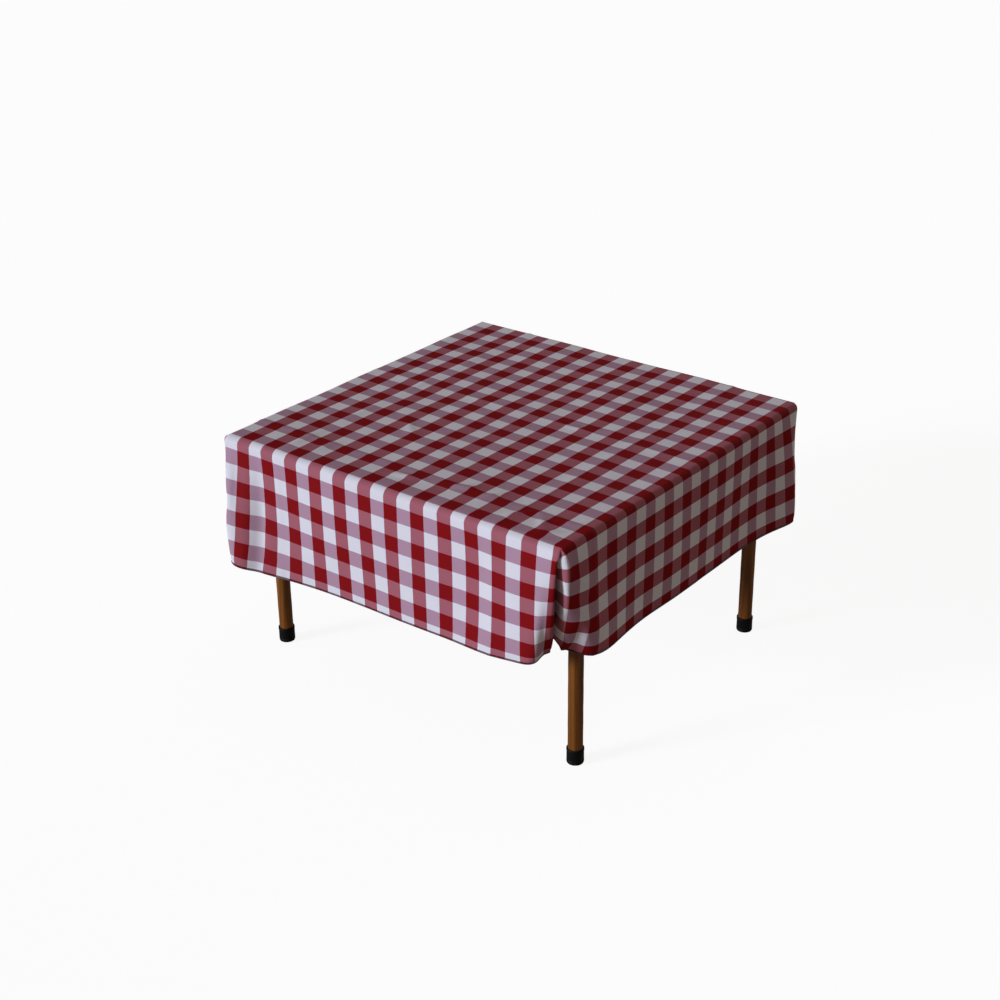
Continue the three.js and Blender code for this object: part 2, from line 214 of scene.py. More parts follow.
class Finish:
    """One material: a Principled shader and the nodes that feed it."""

    def __init__(self, name, **plain):
        self.material = bpy.data.materials.new(name)
        self.material.use_nodes = True
        self.tree = self.material.node_tree
        self.tree.nodes.clear()
        self.shader = self.tree.nodes.new("ShaderNodeBsdfPrincipled")
        out = self.tree.nodes.new("ShaderNodeOutputMaterial")
        self.tree.links.new(self.shader.outputs[0], out.inputs[0])
        for key, value in plain.items():
            self.feed(key.replace("_", " "), value)

    def put(self, socket, value):
        if isinstance(value, Socket):
            self.tree.links.new(value.socket, socket)
        elif hasattr(value, "__len__") and len(value) == 3 and len(socket.default_value) == 4:
            socket.default_value = (*value, 1.0)
        else:
            socket.default_value = value

    def feed(self, name, value):
        self.put(self.shader.inputs[name], value)

    def node(self, kind, settings=None, inputs=None, output=0):
        node = self.tree.nodes.new(kind)
        for key, value in (settings or {}).items():
            if key == "stops":
                ramp = node.color_ramp
                for index, (place, colour) in enumerate(value):
                    stop = ramp.elements[index] if index < 2 else ramp.elements.new(place)
                    stop.position, stop.color = place, (*colour, 1.0)
            else:
                setattr(node, key, value)
        for key, value in (inputs or {}).items():
            self.put(node.inputs[key], value)
        return Socket(self, node.outputs[output])

    def place(self):
        """Where a point is in the part, in metres."""
        return self.node("ShaderNodeTexCoord", output=3)

    def scaled(self, vector, by):
        return self.node("ShaderNodeVectorMath", {"operation": "MULTIPLY"}, {0: vector, 1: by})

    def axes(self, vector):
        split = self.tree.nodes.new("ShaderNodeSeparateXYZ")
        self.put(split.inputs[0], vector)
        return [Socket(self, output) for output in split.outputs]

    def vector(self, x, y, z=0.0):
        return self.node("ShaderNodeCombineXYZ", None, {0: x, 1: y, 2: z})

    def noise(self, vector, scale, detail=3.0, rough=0.5):
        settings = {"Vector": vector, "Scale": scale, "Detail": detail, "Roughness": rough}
        return self.node("ShaderNodeTexNoise", None, settings)

    def mix(self, factor, first, second):
        return self.node("ShaderNodeMix", {"data_type": "RGBA"}, {0: factor, 6: first, 7: second}, 2)

    def tinted(self, colour, shade):
        """A colour made darker or lighter by shade, where 1 leaves it alone."""
        grey = self.vector(shade, shade, shade)
        return self.node("ShaderNodeVectorMath", {"operation": "MULTIPLY"}, {0: colour, 1: grey})

    def bump(self, height, depth, strength):
        inputs = {"Height": height, "Distance": depth, "Strength": strength}
        return self.node("ShaderNodeBump", None, inputs)


def checked_cotton():
    """Two colours of yarn crossing, in even stripes each way, with the weave on top."""
    finish = Finish("checked_cotton")
    finish.feed("Specular IOR Level", 0.03)
    across = finish.node("ShaderNodeUVMap", {"uv_map": "checks"})
    u, v, _ = finish.axes(across)

    def stripe(turn):
        """1 on a red stripe, 0 on a white one."""
        return ((0.25 - abs((turn * 0.5).part() - 0.5)) * 160.0 + 0.5).held()

    waver = finish.noise(across, 1.4, 2.0) - 0.5
    column, row = stripe(u + waver * 0.020), stripe(v + waver * 0.020)
    white, red = (0.80, 0.79, 0.80), (0.250, 0.0065, 0.0085)
    lilac, salmon = (0.470, 0.290, 0.360), (0.405, 0.128, 0.155)
    plain = finish.mix(column, white, salmon)
    crossed = finish.mix(column, lilac, red)
    colour = finish.mix(row, plain, crossed)

    upright = finish.noise(finish.scaled(across, (THREADS * 0.9, 0.5, 1.0)), 1.0, 2.0)
    level = finish.noise(finish.scaled(across, (0.5, THREADS * 0.9, 1.0)), 1.0, 2.0)
    cloud = finish.noise(across, 0.35, 2.0)
    shade = 0.925 + (upright + level) * 0.055 + cloud * 0.04
    finish.feed("Base Color", finish.tinted(colour, shade))

    turn = math.tau * THREADS / 2
    weave = (u * turn).sine() * (v * turn).sine()
    thread = weave * 0.5 + (upright + level) * 0.8
    finish.feed("Roughness", 0.58 + level * 0.12)
    finish.feed("Normal", finish.bump(thread, 0.00012, 0.55))
    return finish.material


def edging_thread():
    """Overlock stitches: dark red thread, with grey loops where it crosses white stripes."""
    finish = Finish("edging_thread", Roughness=0.8, Sheen_Weight=0.2)
    finish.feed("Specular IOR Level", 0.2)
    along = finish.node("ShaderNodeUVMap", {"uv_map": "checks"})
    stripe, stitch, _ = finish.axes(along)
    pale = ((abs((stripe * 0.5).part() - 0.5) - 0.25) * 30.0 + 0.5).held()
    slant = (stitch * math.tau).sine() * 0.5 + 0.5
    fuzz = finish.noise(finish.place(), 900.0, 3.0)
    dark = finish.mix(slant, (0.045, 0.003, 0.006), (0.150, 0.008, 0.016))
    grey = finish.mix(slant, (0.060, 0.030, 0.055), (0.36, 0.30, 0.34))
    colour = finish.mix(pale * 0.6, dark, grey)
    finish.feed("Base Color", finish.tinted(colour, 0.75 + fuzz * 0.5))
    finish.feed("Normal", finish.bump(fuzz, 0.0003, 0.6))
    return finish.material


def wood(name, pale, deep, along, gloss, ring_scale=60.0):
    """Varnished wood with its grain running along the given axis."""
    finish = Finish(name, Coat_Weight=gloss, Coat_Roughness=0.12)
    finish.feed("Specular IOR Level", 0.25)
    stretch = [0.06 if axis == along else 1.0 for axis in range(3)]
    grain_place = finish.scaled(finish.place(), tuple(stretch))
    drift = finish.noise(grain_place, 9.0, 2.0)
    figure = finish.noise(grain_place, ring_scale, 5.0, 0.62)
    fine = finish.noise(grain_place, ring_scale * 9.0, 3.0, 0.6)
    rings = (drift * 26.0 + figure * 1.6).part() - 0.5
    line = 1.0 - abs(rings) * 2.0
    tone = (line * 0.35 + figure * 0.55 + fine * 0.25 - 0.10).held()
    ramp = {"stops": [(0.12, deep), (0.88, pale)]}
    colour = finish.node("ShaderNodeValToRGB", ramp, {0: tone})
    pores = ((fine - 0.60) * 7.0).held()
    finish.feed("Base Color", finish.mix(pores * 0.45, colour, tuple(c * 0.35 for c in deep)))
    finish.feed("Roughness", 0.34 + fine * 0.18)
    finish.feed("Normal", finish.bump(tone + fine * 0.6, 0.00025, 0.35))
    return finish.material


def black_rubber():
    finish = Finish("black_rubber")
    finish.feed("Specular IOR Level", 0.15)
    dust = finish.noise(finish.place(), 60.0, 4.0, 0.6)
    grit = finish.noise(finish.place(), 1400.0, 2.0)
    _, _, height = finish.axes(finish.place())
    scuff = ((0.010 - height) * 90.0).held() * dust
    worn = scuff * 0.7 + dust * 0.12
    finish.feed("Base Color", finish.mix(worn, (0.0030, 0.0036, 0.0030), (0.018, 0.017, 0.015)))
    finish.feed("Roughness", 0.46 + dust * 0.25)
    finish.feed("Normal", finish.bump(grit + dust * 0.5, 0.0002, 0.35))
    return finish.material


def plated_steel():
    finish = Finish("plated_steel", Metallic=1.0)
    haze = finish.noise(finish.place(), 220.0, 4.0, 0.6)
    scratch = finish.noise(finish.scaled(finish.place(), (1.0, 0.08, 1.0)), 2600.0, 2.0)
    finish.feed("Base Color", finish.mix(haze, (0.50, 0.50, 0.49), (0.64, 0.62, 0.58)))
    finish.feed("Roughness", 0.26 + haze * 0.22)
    finish.feed("Normal", finish.bump(scratch, 0.00008, 0.4))
    return finish.material


def washer_fibre():
    finish = Finish("washer_fibre", Roughness=0.7)
    fleck = finish.noise(finish.place(), 1500.0, 3.0)
    finish.feed("Base Color", finish.mix(fleck, (0.11, 0.030, 0.020), (0.20, 0.065, 0.040)))
    finish.feed("Normal", finish.bump(fleck, 0.0002, 0.3))
    return finish.material


# ---------------------------------------------------------------- making pieces


def piece(name, points, faces, finish, smooth=True):
    mesh = bpy.data.meshes.new(name)
    mesh.from_pydata([tuple(p) for p in points], [], [tuple(f) for f in faces])
    mesh.materials.append(finish)
    mesh.polygons.foreach_set("use_smooth", [smooth] * len(mesh.polygons))
    mesh.update()
    made = bpy.data.objects.new(name, mesh)
    bpy.context.scene.collection.objects.link(made)
    return made


def crease_sharp(made, degrees=40.0):
    """Keeps edges sharper than this crisp under smooth shading."""
    shape = bmesh.new()
    shape.from_mesh(made.data)
    bmesh.ops.recalc_face_normals(shape, faces=shape.faces)
    for edge in shape.edges:
        if edge.is_manifold and edge.calc_face_angle(0.0) > math.radians(degrees):
            edge.smooth = False
    shape.to_mesh(made.data)
    shape.free()


def lathe(name, profile, centre, axis, finish, sides=POLE_SIDES):
    """A turned piece: profile is (radius, distance along the axis), from one end to the other."""
    cross = [(axis + 1) % 3, (axis + 2) % 3]
    points, faces, rings = [], [], []
    for radius, reach in profile:
        ring = []
        count = 1 if radius == 0 else sides
        for step in range(count):
            angle = math.tau * step / sides
            point = list(centre)
            point[axis] += reach
            point[cross[0]] += radius * math.cos(angle)
            point[cross[1]] += radius * math.sin(angle)
            ring.append(len(points))
            points.append(point)
        rings.append(ring)
    for low, high in zip(rings, rings[1:]):
        for step in range(sides):
            after = (step + 1) % sides
            corners = [low[step % len(low)], low[after % len(low)]]
            corners += [high[after % len(high)], high[step % len(high)]]
            face = [c for i, c in enumerate(corners) if c not in corners[:i]]
            if len(face) > 2:
                faces.append(face)
    made = piece(name, points, faces, finish)
    crease_sharp(made)
    return made


# ---------------------------------------------------------------- table


def middle(node):
    low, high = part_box(node)
    return [(a + b) / 2 for a, b in zip(low, high)]


def round_end(radius, reach, steps=10):
    """The profile of a ball end, from its full radius up to its tip."""
    arc = [math.pi / 2 * step / steps for step in range(steps + 1)]
    return [(radius * math.cos(a), reach + radius * math.sin(a)) for a in arc[:-1]] + [(0.0, reach + radius)]


def make_leg(name, body, finish):
    low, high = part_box(name)
    radius = (high[0] - low[0]) / 2
    centre = [(low[0] + high[0]) / 2, (low[1] + high[1]) / 2, 0.0]
    shoulder = high[2] - radius
    soft, clear, steps, waver = 0.0012, 0.004, 24, 0.00012
    profile = [(0.0, low[2]), (radius - soft, low[2]), (radius, low[2] + soft)]
    # Hand-rounded stock is never quite true: a very slight waver in its thickness.
    for step in range(1, steps):
        reach = low[2] + clear + (shoulder - low[2] - 2 * clear) * step / steps
        profile.append((radius - waver * (1 + math.sin(step * 1.9 + centre[0] * 9)), reach))
    profile += round_end(radius, shoulder)
    leg = lathe(name + "_pole", profile, centre, 2, finish)
    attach(leg, body)
    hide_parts(name)


def make_foot_cap(name, body, finish):
    low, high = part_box(name)
    outer = (high[0] - low[0]) / 2
    centre = [(low[0] + high[0]) / 2, (low[1] + high[1]) / 2, 0.0]
    leg_low, leg_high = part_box(name.replace("foot_cap", "leg"))
    bore = (leg_high[0] - leg_low[0]) / 2 + 0.0001
    base, top = low[2], high[2]
    profile = [
        (0.0, base + 0.0012), (0.0075, base + 0.0012), (0.0088, base), (outer - 0.0022, base),
        (outer - 0.0010, base + 0.0006), (outer - 0.0003, base + 0.0024), (outer - 0.0002, base + 0.0060),
        (outer - 0.0007, base + 0.0068), (outer - 0.0007, base + 0.0078), (outer - 0.0003, base + 0.0086),
        (outer - 0.0004, top - 0.0060), (outer, top - 0.0048), (outer, top - 0.0010),
        (outer - 0.0005, top - 0.0003), (outer - 0.0011, top), (bore + 0.0003, top),
        (bore, top - 0.0006), (bore, base + 0.0046), (0.0, base + 0.0044),
    ]
    cap = lathe(name + "_boot", profile, centre, 2, finish, 64)
    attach(cap, body)
    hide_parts(name)


def make_stretcher(name, body, finish):
    low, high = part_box(name)
    radius = (high[0] - low[0]) / 2
    centre = [(low[0] + high[0]) / 2, 0.0, (low[2] + high[2]) / 2]
    leg_low, leg_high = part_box(name.replace("stretcher", "leg_front"))
    shoulder = -leg_high[1] - 0.0003
    tenon = radius * 0.775
    profile = [(0.0, low[1]), (tenon - 0.001, low[1]), (tenon, low[1] + 0.001), (tenon, -shoulder),
               (radius - 0.0015, -shoulder), (radius, -shoulder + 0.0015)]
    clear, steps, waver = 0.004, 20, 0.0001
    for step in range(steps + 1):
        reach = -shoulder + clear + (2 * shoulder - 2 * clear) * step / steps
        profile.append((radius - waver * (1 + math.sin(step * 2.3)), reach))
    profile += [(radius, shoulder - 0.0015), (radius - 0.0015, shoulder), (tenon, shoulder),
                (tenon, high[1] - 0.001), (tenon - 0.001, high[1]), (0.0, high[1])]
    rod = lathe(name + "_rod", profile, centre, 1, finish, 40)
    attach(rod, body)
    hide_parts(name)


def finish_frame(finishes):
    """The sawn boards and fittings keep their own shape, with softened corners on the boards."""
    for name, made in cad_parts.items():
        kind = next((kind for start, kind in FRAME_FINISH if name.startswith(start)), None)
        if kind is None:
            continue
        for slot in made.material_slots:
            slot.material = finishes[kind]
        if kind in ("slat", "batten"):
            soften = made.modifiers.new("softened_corners", "BEVEL")
            soften.width, soften.segments = SOFT_CORNER, 2
            soften.limit_method, soften.angle_limit = "ANGLE", math.radians(50)


# ---------------------------------------------------------------- tablecloth


def smooth(t):
    return t * t * (3 - 2 * t)


def through(stations, places):
    """A soft curve through given stations, each (place, value, ...), read at many places."""
    table = np.array(stations)
    knots, values = table[:, 0], table[:, 1:]
    slopes = np.gradient(values, knots, axis=0)
    index = np.clip(np.searchsorted(knots, places) - 1, 0, len(knots) - 2)
    gap = (knots[index + 1] - knots[index])[..., None]
    t = np.clip((places - knots[index])[..., None] / gap, 0, 1)
    a, b = values[index], values[index + 1]
    rise_a, rise_b = slopes[index] * gap, slopes[index + 1] * gap
    return (a * (1 + 2 * t) * (1 - t) ** 2 + rise_a * t * (1 - t) ** 2
            + b * t * t * (3 - 2 * t) - rise_b * t * t * (1 - t))


class Lay:
    """How the cloth lies: by side, where its flat top ends, its turn over the rim, and the rest."""

    def __init__(self):
        top_low, top_high = table_top_box()
        half = (top_high[0] - top_low[0]) / 2
        shift = {"left": -CLOTH_SHIFT_X, "right": CLOTH_SHIFT_X,
                 "front": -CLOTH_SHIFT_Y, "back": CLOTH_SHIFT_Y}
        self.height = top_high[2] + CLOTH_LIFT
        self.radius = {side: RIM[side][1] for side in RIM}
        self.turn = {side: RIM[side][1] * math.pi / 2 for side in RIM}  # cloth used in the turn
        self.flat = {side: half + RIM[side][0] - RIM[side][1] for side in RIM}
        self.over = {side: CLOTH_SIDE / 2 + shift[side] - self.flat[side] for side in RIM}


def cut_cloth(lay):
    """Where each point of the flat cloth lies from the table's middle."""
    def lines(before, after):
        def beyond(side):
            rim = np.linspace(0, lay.turn[side], RIM_CELLS + 1)[1:]
            hang = np.linspace(lay.turn[side], lay.over[side], HANG_CELLS + 1)[1:]
            return lay.flat[side] + np.concatenate([rim, hang])
        level = np.linspace(-lay.flat[before], lay.flat[after], TOP_CELLS + 1)
        return np.concatenate([-beyond(before)[::-1], level, beyond(after)])

    x, y = np.meshgrid(lines("left", "right"), lines("front", "back"), indexing="ij")
    # The corners are cut round: each square corner patch is drawn in to a quarter disc.
    for side, sign_x in (("left", -1), ("right", 1)):
        for fore, sign_y in (("front", -1), ("back", 1)):
            u = (x * sign_x - lay.flat[side]) / lay.over[side]
            v = (y * sign_y - lay.flat[fore]) / lay.over[fore]
            corner = (u > 0) & (v > 0)
            u, v = np.where(corner, u, 0), np.where(corner, v, 0)
            round_x = sign_x * (lay.flat[side] + u * np.sqrt(1 - v * v / 2) * lay.over[side])
            round_y = sign_y * (lay.flat[fore] + v * np.sqrt(1 - u * u / 2) * lay.over[fore])
            x, y = np.where(corner, round_x, x), np.where(corner, round_y, y)
    return x, y


def table_top_box():
    slats = [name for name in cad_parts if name.startswith("slat_") and "screw" not in name]
    corners = [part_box(name) for name in slats]
    low = [min(c[0][axis] for c in corners) for axis in range(3)]
    high = [max(c[1][axis] for c in corners) for axis in range(3)]
    return low, high


def hang_side(side, along, over, lay):
    """Points of one drop: (along, out, down) for places along a side and a distance over the rim."""
    radius, turn, hem = lay.radius[side], lay.turn[side], lay.over[side]
    out, lean, belly = np.moveaxis(through(HANG[side], along), -1, 0)
    lift, slide = np.moveaxis(through(TUG[side], along), -1, 0)
    angle = np.minimum(over, turn) / radius
    t = np.clip((over - turn) / (hem - turn), 0, 1)
    fall = np.sqrt(np.maximum((hem - turn) ** 2 - out ** 2 - lean ** 2, 0))
    tugged = smooth(np.clip(over / turn, 0, 1))
    return (along + lean * t + slide * tugged,
            radius * np.sin(angle) + out * t + belly * 4 * t * (1 - t),
            radius * (1 - np.cos(angle)) + fall * t - lift * t ** 0.5)


def pleat(hang, arc, width, slope):
    """The hem of the fullness folded in behind a crease, as evenly spaced steps away from its foot.

    hang is the length of cloth from the rim down to the hem, arc the length of hem to fold
    away. slope follows the drop in front of it, where that drop flares toward its crease.
    Each step is (outward along the front or back, outward from it, down).
    """
    t = np.linspace(0, 1, 601)
    slip = np.sin(np.pi * t ** 1.6)
    early = t / CURL_SPAN * np.exp(1 - t / CURL_SPAN)
    late = (1 - t) / CURL_SPAN * np.exp(1 - (1 - t) / CURL_SPAN)

    def drawn(depth):
        inward = depth * np.sin(np.pi * t) ** 2
        x = -inward + PLEAT_CURL * early
        gap = PLEAT_GAP * np.minimum(t / GAP_SPAN, 1) * np.minimum((1 - t) / GAP_SPAN, 1)
        y = -width * slip - gap - slope * np.minimum(inward, FLARE_LIMIT) + PLEAT_CURL * late
        down = np.sqrt(np.maximum(hang ** 2 - x ** 2 - y ** 2, 0.0004)) - hang
        line = np.stack([x, y, down], -1)
        steps = np.linalg.norm(np.diff(line, axis=0), axis=1)
        return line, np.concatenate([[0], np.cumsum(steps)])

    shallow, deep = 0.0, hang * 0.98
    for _ in range(30):
        depth = (shallow + deep) / 2
        line, run = drawn(depth)
        shallow, deep = (depth, deep) if run[-1] < arc else (shallow, depth)
    even = np.linspace(0, run[-1], 401)
    return np.stack([np.interp(even, run, line[:, axis]) for axis in range(3)], -1)


def drape_by_hand(x, y, lay):
    """The cloth laid on the table and its drops folded down, before it settles."""
    points = np.stack([x, y, np.full_like(x, lay.height)], -1)
    past = {"left": -x - lay.flat["left"], "right": x - lay.flat["right"],
            "front": -y - lay.flat["front"], "back": y - lay.flat["back"]}
    for side, axis, sign in (("front", 1, -1), ("back", 1, 1), ("left", 0, -1), ("right", 0, 1)):
        beside = ("left", "right") if axis == 1 else ("front", "back")
        where = (past[side] > 1e-9) & (past[beside[0]] <= 1e-9) & (past[beside[1]] <= 1e-9)
        along, out, down = hang_side(side, (x if axis == 1 else y)[where], past[side][where], lay)
        points[where, 1 - axis] = along
        points[where, axis] = sign * (lay.flat[side] + out)
        points[where, 2] = lay.height - down
    for fore, sign_y in (("front", -1), ("back", 1)):
        for side, sign_x in (("left", -1), ("right", 1)):
            where = (past[fore] > 1e-9) & (past[side] > 1e-9)
            local = fold_corner(fore, side, sign_x, sign_y, past[side][where], past[fore][where], lay)
            points[where] = np.stack([sign_x * (lay.flat[side] + local[:, 0]),
                                      sign_y * (lay.flat[fore] + local[:, 1]), lay.height - local[:, 2]], -1)
    return points


def fold_corner(fore, side, sign_x, sign_y, past_x, past_y, lay):
    """Points of one corner: each drop runs on to the crease, and the rest folds in behind it.

    Worked out for a corner that points along +X and +Y, from where the flat top ends.
    """
    hem_x, hem_y = lay.over[side], lay.over[fore]
    past, angle = np.hypot(past_x, past_y), np.arctan2(past_x, past_y)
    hem = 1 / np.sqrt((np.sin(angle) / hem_x) ** 2 + (np.cos(angle) / hem_y) ** 2)
    share = angle / (math.pi / 2)
    turn = lay.turn[fore] + (lay.turn[side] - lay.turn[fore]) * share
    t = np.clip((past - turn) / (hem - turn), 0, 1)

    def border(name, sign, edge):
        over_rim = np.where(past < turn, past / turn * lay.turn[name],
                            lay.turn[name] + t * (lay.over[name] - lay.turn[name]))
        along, out, down = hang_side(name, np.full_like(past, sign * edge), over_rim, lay)
        return sign * along - edge, out, down

    along, out, down = border(fore, sign_x, lay.flat[side])
    first = np.stack([along, out, down], -1)
    along, out, down = border(side, sign_y, lay.flat[fore])
    last = np.stack([out, along, down], -1)

    head = np.array(CREASE_HEAD[(fore, side)])
    foot = np.array(CREASE_FOOT[(fore, side)])
    step_out = foot - head
    bend = np.minimum(past / turn, 1) * math.pi / 2
    hang = (hem_x + hem_y - lay.turn[side] - lay.turn[fore]) / 2
    fall = math.sqrt(hang ** 2 - step_out @ step_out)
    lift = through(TUG[fore], np.array([sign_x * lay.flat[side]]))[0, 0]
    crease = np.stack([head[0] * np.sin(bend) + step_out[0] * t, head[1] * np.sin(bend) + step_out[1] * t,
                       turn * 2 / math.pi * (1 - np.cos(bend)) + fall * t - lift * t ** 0.5], -1)

    run, whole = past * angle, past * math.pi / 2
    run_on = RUN_ON[(fore, side)]
    before, after = (np.minimum(rim + (low - rim) * t ** 1.5, whole * 0.45) for rim, low in run_on)
    stands = through(HANG[fore], sign_x * np.array([lay.flat[side], lay.flat[side] - FLARE_SPAN]))[:, 0]
    slope = (stands[0] - stands[1]) / FLARE_SPAN
    arc = (hem_x + hem_y) / 2 * math.pi / 2 - sum(low for _, low in run_on)
    folded = pleat(hang, arc, PLEAT_WIDTH[(fore, side)], slope)
    place = np.clip((run - before) / (whole - before - after), 0, 1)
    read = place * (len(folded) - 1)
    step = np.stack([np.interp(read, np.arange(len(folded)), folded[:, axis]) for axis in range(3)], -1)
    begin, end = np.clip(run / before, 0, 1)[:, None], np.clip((whole - run) / after, 0, 1)[:, None]
    local = crease + step * t[:, None]
    curl = 0.20 * before[:, None] * np.sin(np.pi * begin) * t[:, None] * np.array([1.0, 0.3, 0.0])
    local = np.where(begin < 1, first + (crease - first) * begin + curl, local)
    # The side drop rounds the corner on its way to the crease, so its last stretch bows out.
    bow = (run_on[1][0] - 0.004) * 0.30 * np.sin(np.pi * end) * np.minimum(past / turn, 1)[:, None]
    bow = bow * np.array([1.0, 0.6, 0.0])
    local = np.where(end < 1, last + (crease - last) * end + bow, local)
    # Just under the rim there is nowhere to fold in to, so the fullness stands out as an ear.
    swell = past / EAR_PLACE * np.exp(1 - past / EAR_PLACE)
    swell = swell * np.clip(past / turn, 0, 1) * np.sin(np.pi * run / whole)
    for axis in (0, 1):
        local[:, axis] += EAR[(fore, side)][axis] * swell
    return local


def stand_in(name, finish, low, high):
    """A plain box for the cloth to settle against, taken away afterwards."""
    points = [(x, y, z) for x in (low[0], high[0]) for y in (low[1], high[1]) for z in (low[2], high[2])]
    faces = [(0, 1, 3, 2), (4, 6, 7, 5), (0, 4, 5, 1), (2, 3, 7, 6), (0, 2, 6, 4), (1, 5, 7, 3)]
    made = piece(name, points, faces, finish, smooth=False)
    made.modifiers.new("firm", "COLLISION")
    made.collision.thickness_outer = 0.0015
    made.collision.cloth_friction = 12
    return made


def settle(points, x, y, lay):
    """Lets the laid cloth hang under its own weight from its flat woven shape.

    The top stays where it lies; the drops keep only a soft memory of how they were laid.
    """
    rows, columns = points.shape[:2]
    index = np.arange(rows * columns).reshape(rows, columns)
    faces = np.stack([index[:-1, :-1], index[1:, :-1], index[1:, 1:], index[:-1, 1:]], -1).reshape(-1, 4)
    plain = bpy.data.materials.new("unfinished")
    made = piece("settling_cloth", points.reshape(-1, 3), faces.tolist(), plain)
    made.shape_key_add(name="as_laid")
    woven = made.shape_key_add(name="as_woven")
    flat = np.stack([x, y, np.full_like(x, lay.height)], -1)
    woven.data.foreach_set("co", flat.astype(np.float32).ravel())

    past_x = np.maximum(x - lay.flat["right"], -x - lay.flat["left"])
    past_y = np.maximum(y - lay.flat["back"], -y - lay.flat["front"])
    past = np.hypot(np.maximum(past_x, 0), np.maximum(past_y, 0))
    fade = (1 - HEM_HOLD) * np.clip(past / HOLD_SPAN, 0, 1)
    hold = np.where(past < HELD_RIM, 1.0, SETTLE_HOLD * (1 - fade))
    group = made.vertex_groups.new(name="held")
    steps = np.round(hold * HOLD_STEPS).astype(int).ravel()
    for step in np.unique(steps):
        group.add(np.nonzero(steps == step)[0].tolist(), float(step) / HOLD_STEPS, "REPLACE")

    cloth = made.modifiers.new("settle", "CLOTH")
    cloth.settings.quality = 7
    cloth.settings.mass = 0.05
    cloth.settings.tension_stiffness = cloth.settings.compression_stiffness = 40
    cloth.settings.shear_stiffness = 12
    cloth.settings.bending_stiffness = 1.5
    cloth.settings.rest_shape_key = woven
    cloth.settings.vertex_group_mass = "held"
    cloth.settings.pin_stiffness = 1.0
    cloth.collision_settings.distance_min = 0.0015
    cloth.collision_settings.collision_quality = 2
    cloth.collision_settings.use_self_collision = True
    cloth.collision_settings.self_distance_min = 0.0022
    cloth.point_cache.frame_start, cloth.point_cache.frame_end = 1, SETTLE_FRAMES

    top_low, top_high = table_top_box()
    firm = [stand_in("firm_top", plain, top_low, (top_high[0], top_high[1], top_high[2] - 0.001))]
    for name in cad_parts:
        if name.startswith("leg_front") or name.startswith("leg_back"):
            firm.append(stand_in("firm_" + name, plain, *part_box(name)))
    for number in range(1, SETTLE_FRAMES + 1):
        bpy.context.scene.frame_set(number)
    hung = bpy.data.meshes.new_from_object(made.evaluated_get(bpy.context.evaluated_depsgraph_get()))
    moved = np.empty(rows * columns * 3, dtype=np.float32)
    hung.vertices.foreach_get("co", moved)
    bpy.context.scene.frame_set(1)
    for thing in [made, *firm]:
        mesh = thing.data
        bpy.data.objects.remove(thing)
        bpy.data.meshes.remove(mesh)
    bpy.data.meshes.remove(hung)
    bpy.data.materials.remove(plain)
    settled = moved.reshape(points.shape).astype(float)
    # The finest crumples are finer than the weave would hold: eased out below the rim.
    ease = np.clip(past / EASE_SPAN, 0, 1)[1:-1, 1:-1, None] * 0.5
    for _ in range(EASE_TIMES):
        beside = (settled[:-2, 1:-1] + settled[2:, 1:-1] + settled[1:-1, :-2] + settled[1:-1, 2:]) / 4
        settled[1:-1, 1:-1] += (beside - settled[1:-1, 1:-1]) * ease
        for edge in (settled[0], settled[-1], settled[:, 0], settled[:, -1]):
            edge[1:-1] += ((edge[:-2] + edge[2:]) / 2 - edge[1:-1]) * 0.5
    return settled


def finer(grid):
    """The same sheet with a point between each two, on a smooth curve through them."""
    for axis in (0, 1):
        g = np.moveaxis(grid, axis, 0)
        before = np.concatenate([2 * g[:1] - g[1:2], g[:-2]])
        after = np.concatenate([g[2:], 2 * g[-1:] - g[-2:-1]])
        half = (-before + 9 * g[:-1] + 9 * g[1:] - after) / 16
        woven = np.empty((2 * len(g) - 1, *g.shape[1:]))
        woven[0::2], woven[1::2] = g, half
        grid = np.moveaxis(woven, 0, axis)
    return grid


def grid_normals(points):
    du = np.gradient(points, axis=0)
    dv = np.gradient(points, axis=1)
    normal = np.cross(du, dv)
    return normal / np.maximum(np.linalg.norm(normal, axis=-1, keepdims=True), 1e-12)


def check_count(x, y):
    """Which check a flat point lies in, counted along X and along Y."""
    turn_x = x * math.cos(CHECK_TURN_X) + y * math.sin(CHECK_TURN_X)
    turn_y = y * math.cos(CHECK_TURN_Y) - x * math.sin(CHECK_TURN_Y)
    return turn_x / CHECK_X + CHECK_START[0], turn_y / CHECK_Y + CHECK_START[1]


